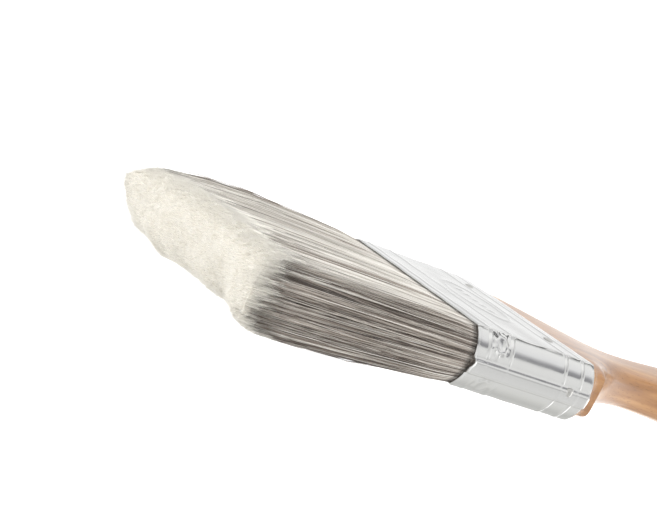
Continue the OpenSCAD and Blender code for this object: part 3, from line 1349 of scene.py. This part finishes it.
@dataclass
class TipField(Strands):
    """The short visible ends that fill the crowned tip, deep in the bundle as well as at its faces."""

    shown_l: float = 11.0
    lock_jitter: float = 0.12

    def build(self) -> bpy.types.Object:
        """Copies the blank for the last stretch of every strand in the field."""
        rng = np.random.default_rng(self.seed)
        blank = StrandBlank(self.segments)
        n = self.count
        u0, v0 = self.places(rng)
        u1, v1, lock = self.lock_shift(u0, v0, rng)
        u1 = np.clip(u1 + rng.normal(0, self.wander, n), -1, 1)
        v1 = np.clip(v1 + rng.normal(0, 3.0 * self.wander, n), -1, 1)
        lock_length = rng.normal(0, self.lock_jitter, lock.max() + 1)[lock]
        length = self.bundle.length_at(u1, v1) + lock_length + rng.normal(0, self.length_jitter, n)
        tone = np.clip(rng.uniform(0, 1, n), 0.02, 0.97)
        start = length - self.shown_l * rng.uniform(0.7, 1.1, n)
        flag = np.full(n, self.flag_shift)
        # The roots of these short ends lie on the straight lines to the mouth.
        path = self.path_of(blank.points[:, 2], u0, v0, u1, v1, length, start, rng)
        return self.sweep(blank, path, tone, length, flag)


@dataclass
class SplitHairs(TipField):
    """The fine hairs that a flagged end is split into, which lean out to all sides."""

    lean: float = 0.3

    def path_of(
        self, s: np.ndarray, u0: np.ndarray, v0: np.ndarray, u1: np.ndarray, v1: np.ndarray,
        length: np.ndarray, start: np.ndarray | float, rng: np.random.Generator,
    ) -> np.ndarray:
        """Bends the straight hairs outwards, most at their ends."""
        path = super().path_of(s, u0, v0, u1, v1, length, start, rng)
        n = len(u0)
        reach = (length - start)[:, None]
        out = s[None, :] ** 1.6 * reach
        lean = rng.normal(0, self.lean, (n, 3))
        path[..., 0] -= np.abs(lean[:, :1]) * out * 0.25
        path[..., 1] += lean[:, 1:2] * out
        path[..., 2] += lean[:, 2:3] * out
        low, high = self.bundle.layout.low, self.bundle.layout.high
        for axis in range(3):
            path[..., axis] = np.clip(path[..., axis], low[axis] + 0.1, high[axis] - 0.1)
        return path


@dataclass
class Strays(Strands):
    """A few loose strands that stand clear of the bundle along the region's outer edge."""

    lift: float = 1.6
    clear_of_box: float = 0.3

    def places(self, rng: np.random.Generator) -> tuple[np.ndarray, np.ndarray]:
        """Spreads the roots close to the bundle's edge."""
        n = self.count
        sign = 1 if self.region is Region.UPPER_FACE else -1
        u = -sign * rng.uniform(0.93, 0.99, n)
        return u, sign * rng.uniform(0.97, 1.0, n)

    def path_of(
        self, s: np.ndarray, u0: np.ndarray, v0: np.ndarray, u1: np.ndarray, v1: np.ndarray,
        length: np.ndarray, start: np.ndarray | float, rng: np.random.Generator,
    ) -> np.ndarray:
        """Lifts the middle of each strand off the bundle."""
        path = super().path_of(s, u0, v0, u1, v1, length, start, rng)
        out = path[..., 0] - self.bundle.layout.mouth_x
        lift = self.lift * rng.uniform(0.4, 1.0, len(u0))[:, None]
        part = np.clip(out / length[:, None], 0, 1)
        path[..., 2] += np.sign(v0)[:, None] * lift * smoothstep(0.3, 0.75, part)
        low, high = self.bundle.layout.low[2], self.bundle.layout.high[2]
        path[..., 2] = np.clip(path[..., 2], low - self.clear_of_box, high + self.clear_of_box)
        return path


@dataclass
class Bristles:
    """All the filaments: the dense core, the outer layers, the tip field and a few strays."""

    layout: Layout
    core_inset: float = 1.5
    down_inset: float = 0.6
    down_depth: float = 0.8
    tip_l: float = 9.0
    blend_l: float = 36.0

    def core(
        self, bundle: Bundle, name: str, start: float, stop: float, inset: float, crowned: bool
    ) -> bpy.types.Object:
        """Models a solid stretch of the bundle, a little inside its surface.

        Args:
            bundle: The shape to follow.
            name: The new piece's name.
            start: Where it starts outside the mouth.
            stop: Where it ends outside the mouth, on the bundle's edges.
            inset: How far it stays inside the bundle's faces.
            crowned: True if its end follows the crown of the tip.

        Returns:
            The new object.
        """
        rows, columns = 40, 120
        cap_rows = 14
        piece, row, column = sheet_grid(name, rows + 2 * cap_rows, columns + 1)
        part = np.clip((row - cap_rows) / (rows - 1), 0, 1)
        shrink_root = np.clip(row / cap_rows, 0, 1)
        shrink_tip = np.clip((rows + 2 * cap_rows - 1 - row) / cap_rows, 0, 1)
        shrink = np.minimum(shrink_root, shrink_tip)
        angle = 2 * math.pi * column / columns
        u = np.sign(np.cos(angle)) * np.abs(np.cos(angle)) ** 0.35 * shrink
        v = np.sign(np.sin(angle)) * np.abs(np.sin(angle)) ** 0.35 * shrink
        end = bundle.length_at(u, v) - (bundle.free_l - stop) if crowned else stop
        out = start + (end - start) * part
        y, z = bundle.spread(np.clip(out / bundle.free_l, 0, 1), u, v)
        y *= 1 - 2 * inset / bundle.mouth.width
        z *= 1 - 2 * inset / bundle.mouth.thickness
        points = np.stack([self.layout.mouth_x + out, y, self.layout.mid_z + z], 1)
        place_points(piece, points)
        close_up(piece)
        smooth(piece, 60)
        return piece

    def dress(self, piece: bpy.types.Object, material: bpy.types.Material, node: str, slot: str) -> None:
        """Gives a bristle piece its material, writes its place into its points and hides the CAD node it
        replaces.
        """
        piece.data.materials.clear()
        piece.data.materials.append(material)
        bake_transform(piece)
        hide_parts(node)

    def build(self) -> list[bpy.types.Object]:
        """Builds and dresses every bristle piece."""
        bundle = Bundle(self.layout)
        strand = TaperedFilament().build()
        packed = PackedFilament().build()
        down = FlaggedDown().build()
        border = bundle.free_l - self.tip_l
        core = self.core(bundle, "filament_core", -1.0, border, self.core_inset, False)
        self.dress(core, packed, "bristle_pack", "filament_grey")
        soft = self.core(
            bundle, "tip_core", border, bundle.free_l - self.down_depth, self.down_inset, True
        )
        self.dress(soft, down, "flagged_tips", "filament_tip")
        made = [core, soft]
        layers = [
            # The upper layer gets paler strands: painted light, for the top face that light from above
            # makes lighter.
            Strands("filaments_upper", bundle, Region.UPPER_FACE, 3400, seed=21,
                    pale_share=0.82, pale_tone=0.93, dark_tone=0.42),
            Strands("filaments_lower", bundle, Region.LOWER_FACE, 2400, seed=22),
            Strands("filaments_near_side", bundle, Region.NEAR_SIDE, 1500, seed=23,
                    pale_share=0.58, pale_tone=0.76, dark_tone=0.2),
            Strands("filaments_far_side", bundle, Region.FAR_SIDE, 1200, seed=24,
                    pale_share=0.5, pale_tone=0.76, dark_tone=0.24),
            Strays("strays_upper", bundle, Region.UPPER_FACE, 4, seed=43, pale_share=0.0, dark_tone=0.35,
                   tip_radius=0.08, lock_pull=0.0, flag_shift=-12.0, length_jitter=3.0),
            Strays("strays_lower", bundle, Region.LOWER_FACE, 5, seed=42, pale_share=0.2, dark_tone=0.25,
                   tip_radius=0.09, lock_pull=0.0, flag_shift=-12.0, length_jitter=3.0),
            TipField("flagged_ends", bundle, Region.TIP_FIELD, 9000, seed=31, segments=3, crowding=1.0,
                     root_radius=0.07, tip_radius=0.03, wander=0.01, shown_l=5.0, length_jitter=0.6,
                     flag_shift=4.0),
            SplitHairs("split_hairs_inner", bundle, Region.TIP_FIELD, 12000, seed=32, segments=2,
                       crowding=1.0, root_radius=0.045, tip_radius=0.015, wander=0.01, shown_l=2.6,
                       lean=0.2, length_jitter=0.35, flag_shift=4.0),
            SplitHairs("split_hairs_outer", bundle, Region.TIP_FIELD, 9000, seed=33, segments=2,
                       crowding=1.0, root_radius=0.04, tip_radius=0.015, wander=0.01, shown_l=2.4,
                       lean=0.35, length_jitter=0.45, flag_shift=4.0),
        ]
        for layer in layers:
            piece = layer.build()
            at_tip = isinstance(layer, TipField)
            node, slot = ("flagged_tips", "filament_tip") if at_tip else ("bristle_pack", "filament_grey")
            self.dress(piece, strand, node, slot)
            made.append(piece)
        return made


# ---------------------------------------------------------------------------------------------
# CAD nodes that keep their shape
# ---------------------------------------------------------------------------------------------


@dataclass
class InnerParts:
    """The CAD pieces that show as they are, or are hidden in the ferrule: only their finish is set."""

    frame: dict

    def dress(self) -> None:
        """Gives each carried-over CAD node its material."""
        nail = NailSteel().build()
        wood = SawnWood().build()
        epoxy = CastEpoxy().build()
        roots = PackedFilament(name="filament_roots", light="5f574f").build()
        chosen = {"resin_set": epoxy, "spacer_upper": wood, "spacer_lower": wood}
        for level in ("upper", "middle", "lower"):
            chosen[f"root_pack_{level}"] = roots
        for name in self.frame["nodes"]:
            if "nail" in name:
                chosen[name] = nail
        for name, material in chosen.items():
            node = self.frame["nodes"][name]
            if not node.material_slots:
                node.data.materials.append(material)
            for holder in node.material_slots:
                holder.material = material
            log.info("dressed %s with %s", name, material.name)


# ---------------------------------------------------------------------------------------------
# The studio
# ---------------------------------------------------------------------------------------------


@dataclass
class Studio:
    """White floor, soft light, grey cards for the metal to reflect, and the camera."""

    layout: Layout
    # The point that the camera looks at, from the middle of the ferrule's mouth.
    aim: tuple = (20.2, -15.7, 4.5)
    azimuth: float = 143.53
    elevation: float = 8.39
    roll: float = 25.86
    distance: float = 439.6
    lens: float = 81.8
    floor_drop: float = 150.0
    floor_half: float = 6000.0
    floor_rise: float = 2200.0
    overhead_power: float = 1.7
    front_power: float = 2.0
    side_power: float = 0.7
    light_spread: float = 70.0
    air_strength: float = 1.1
    card_strength: float = 1.1
    # The cards that stand and hang at a distance: lower and upper edge, place, height and bands.
    wall_z: tuple = (20.0, 700.0)
    wall_x: float = 1400.0
    wall_y: float = 560.0
    ceiling_z: float = 900.0
    ceiling_bands: tuple = ((0.0, "b4b4b6"), (0.35, "d6d6d6"), (0.5, "c4c4c6"), (1.0, "dcdcdc"))
    wall_bands: tuple = (
        (0.0, "f8f8f8"), (0.1, "f4f4f4"), (0.2, "e6e6e6"),
        (0.34, "cdcdcd"), (0.6, "d4d4d4"), (1.0, "f0f0f0"),
    )
    # The banded cards: middle line, radius, length, span in degrees up from the side, and bands.
    tent_centre: float = 26.0
    tent_radius: float = 140.0
    tent_length: float = 200.0
    tent_span: tuple = (-125.0, 110.0)
    tent_bands: tuple = (
        (-125.0, "cacaca"), (-104.0, "c8c8c6"), (-88.0, "c2c2c0"), (-64.0, "dadad8"), (-49.0, "dedede"),
        (-44.0, "cbcbc9"), (-39.0, "dcdcdc"), (-12.0, "d2d2d2"), (-8.0, "b6b6b6"), (3.0, "c0c0c0"),
        (7.0, "e0e0e0"), (24.0, "e2e2e2"), (30.0, "dedede"), (32.0, "7a7a7e"),
        (40.0, "8a8a8e"), (50.0, "e2e2e4"), (78.0, "f0f0f0"), (83.0, "3a3a3c"), (93.0, "3a3a3c"),
        (98.0, "f4f4f4"), (110.0, "f4f4f4"),
    )

    def mouth(self) -> Vector:
        """The middle of the ferrule's mouth, in metres."""
        return Vector((self.layout.mouth_x, 0, self.layout.mid_z)) * MM

    def camera(self) -> bpy.types.Object:
        """Makes the camera, rolled about its own line of sight."""
        a, e, r = (math.radians(v) for v in (self.azimuth, self.elevation, self.roll))
        back = Vector((math.sin(a) * math.cos(e), -math.cos(a) * math.cos(e), math.sin(e)))
        level = Vector((math.cos(a), math.sin(a), 0))
        above = back.cross(level)
        right = math.cos(r) * level + math.sin(r) * above
        up = math.cos(r) * above - math.sin(r) * level
        data = bpy.data.cameras.new("camera")
        data.lens = self.lens
        data.clip_start, data.clip_end = 0.01, 100
        camera = bpy.data.objects.new("camera", data)
        bpy.context.scene.collection.objects.link(camera)
        place = self.mouth() + Vector(self.aim) * MM + back * self.distance * MM
        turned = Matrix((right, up, back)).transposed().to_4x4()
        camera.matrix_world = Matrix.Translation(place) @ turned
        bpy.context.scene.camera = camera
        return camera

    def floor(self) -> None:
        """Lays a wide sheet of white paper under the brush, curved up at its far edges."""
        rows = 41
        piece, row, column = sheet_grid("studio_floor", rows, rows)
        half = self.floor_half
        x = (row / (rows - 1) - 0.5) * 2 * half
        y = (column / (rows - 1) - 0.5) * 2 * half
        rise = self.floor_rise * smoothstep(0.5, 1.0, np.hypot(x, y) / half)
        place_points(piece, np.stack([x, y, rise - self.floor_drop], 1))
        smooth(piece)
        piece.data.materials.append(StudioPaper().build())
        piece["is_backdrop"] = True

    def broad_light(self, name: str, towards: tuple, power: float) -> None:
        """Adds an even, very soft light.

        Args:
            name: The light's name.
            towards: The direction that it comes from, as x, y, z.
            power: Its strength in watts per square metre.
        """
        data = bpy.data.lights.new(name, "SUN")
        data.energy = power
        data.angle = math.radians(self.light_spread)
        lamp = bpy.data.objects.new(name, data)
        bpy.context.scene.collection.objects.link(lamp)
        lamp.visible_glossy = False
        lamp.rotation_mode = "QUATERNION"
        lamp.rotation_quaternion = Vector(towards).to_track_quat("Z", "Y")

    def card(self, name: str, rows: int, columns: int) -> tuple[bpy.types.Object, np.ndarray, np.ndarray]:
        """Adds a card that only shiny surfaces see.

        Args:
            name: The card's name.
            rows: Points along the brush.
            columns: Points across it.

        Returns:
            The card, and each point's place along and across it from 0 to 1.
        """
        card, row, column = sheet_grid(name, rows, columns)
        card.visible_camera = False
        card.visible_diffuse = False
        card.visible_shadow = False
        return card, row / (rows - 1), column / (columns - 1)

    def print_card(self, card: bpy.types.Object, stops: tuple) -> None:
        """Prints grey bands across a card, as light that it gives off evenly.

        Args:
            card: The card.
            stops: Pairs of place across, from 0 to 1, and sRGB hex grey.
        """
        material, tree, shader = blank_material(
            card.name, Base_Color=(0, 0, 0, 1), Emission_Strength=self.card_strength
        )
        across = add_node(tree, "ShaderNodeUVMap", uv_map=card.data.uv_layers[0].name)
        parts = add_node(tree, "ShaderNodeSeparateXYZ", {"Vector": across.outputs["UV"]})
        bands = add_node(tree, "ShaderNodeValToRGB", {"Fac": parts.outputs["Y"]}, stops=stops)
        tree.links.new(bands.outputs["Color"], shader.inputs["Emission Color"])
        card.data.materials.append(material)
        card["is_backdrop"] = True

    def tent(self, name: str, side: int, x_from: float) -> None:
        """Bends a banded card round one narrow side of the brush, from under it to over it.

        Args:
            name: The card's name.
            side: 1 for the near side, towards +Y, and -1 for the far one.
            x_from: Where the card starts, from the mouth.
        """
        card, along, across = self.card(name, 2, 91)
        low, high = (math.radians(v) for v in self.tent_span)
        angle = low + (high - low) * across
        x = self.layout.mouth_x + x_from + self.tent_length * along
        y = side * (self.tent_centre + self.tent_radius * np.cos(angle))
        z = self.layout.mid_z + self.tent_radius * np.sin(angle)
        place_points(card, np.stack([x, y, z], 1))
        degrees_to_part = 1 / (self.tent_span[1] - self.tent_span[0])
        stops = tuple(((at - self.tent_span[0]) * degrees_to_part, shade) for at, shade in self.tent_bands)
        self.print_card(card, stops)

    def wall_card(self, name: str, start: tuple, end: tuple, foot: float, head: float) -> None:
        """Stands a graded grey card at a distance, for the wide faces to reflect.

        Args:
            name: The card's name.
            start: Where it starts, as x from the mouth and y.
            end: Where it ends.
            foot: Height of its lower edge.
            head: Height of its upper edge.
        """
        card, along, across = self.card(name, 2, 2)
        x = self.layout.mouth_x + start[0] + (end[0] - start[0]) * along
        y = start[1] + (end[1] - start[1]) * along
        place_points(card, np.stack([x, y, foot + (head - foot) * across], 1))
        self.print_card(card, self.wall_bands)

    def ceiling_card(self) -> None:
        """Hangs a graded grey card overhead, for a view from above to be reflected in the metal."""
        card, along, across = self.card("ceiling_card", 2, 2)
        x = self.layout.mouth_x - 500 + 1000 * across
        place_points(card, np.stack([x, -400 + 800 * along, np.full_like(x, self.ceiling_z)], 1))
        self.print_card(card, self.ceiling_bands)

    def build(self) -> None:
        """Sets up the whole studio."""
        bpy.context.scene.view_settings.view_transform = "Standard"
        world = bpy.data.worlds.new("studio_air")
        bpy.context.scene.world = world
        world.use_nodes = True
        air = world.node_tree.nodes["Background"]
        air.inputs["Color"].default_value = (1, 1, 1, 1)
        air.inputs["Strength"].default_value = self.air_strength
        self.camera()
        self.floor()
        self.broad_light("overhead", (0.25, -0.35, 1.0), self.overhead_power)
        self.broad_light("front", (1.0, 0.35, 0.35), self.front_power)
        self.broad_light("side", (0.2, 1.0, 0.15), self.side_power)
        self.tent("near_tent", 1, -260.0)
        self.tent("far_tent", -1, -70.0)
        foot, head = self.wall_z
        x, y = self.wall_x, self.wall_y
        self.wall_card("far_wall", (-x, -y), (x, -y), foot, head)
        self.wall_card("near_wall", (-x, y), (x, y), foot, head)
        self.wall_card("tail_wall", (-x, y), (-x, -y), 2 * foot, 2 * head)
        self.wall_card("tip_wall", (x, y), (x, -y), 2 * foot, 2 * head)
        self.ceiling_card()


def main() -> None:
    """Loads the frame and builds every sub-assembly in order."""
    logging.basicConfig(level=logging.INFO, format="%(name)s: %(message)s")
    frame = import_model()
    layout = Layout.from_frame()
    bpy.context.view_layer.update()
    Studio(layout).build()
    InnerParts(frame).dress()
    made = [Ferrule(layout).build(), Handle(layout).build()]
    made += Bristles(layout).build()
    for piece in made:
        log.info("%s: %d faces", piece.name, len(piece.data.polygons))


if __name__ == "__main__":
    main()
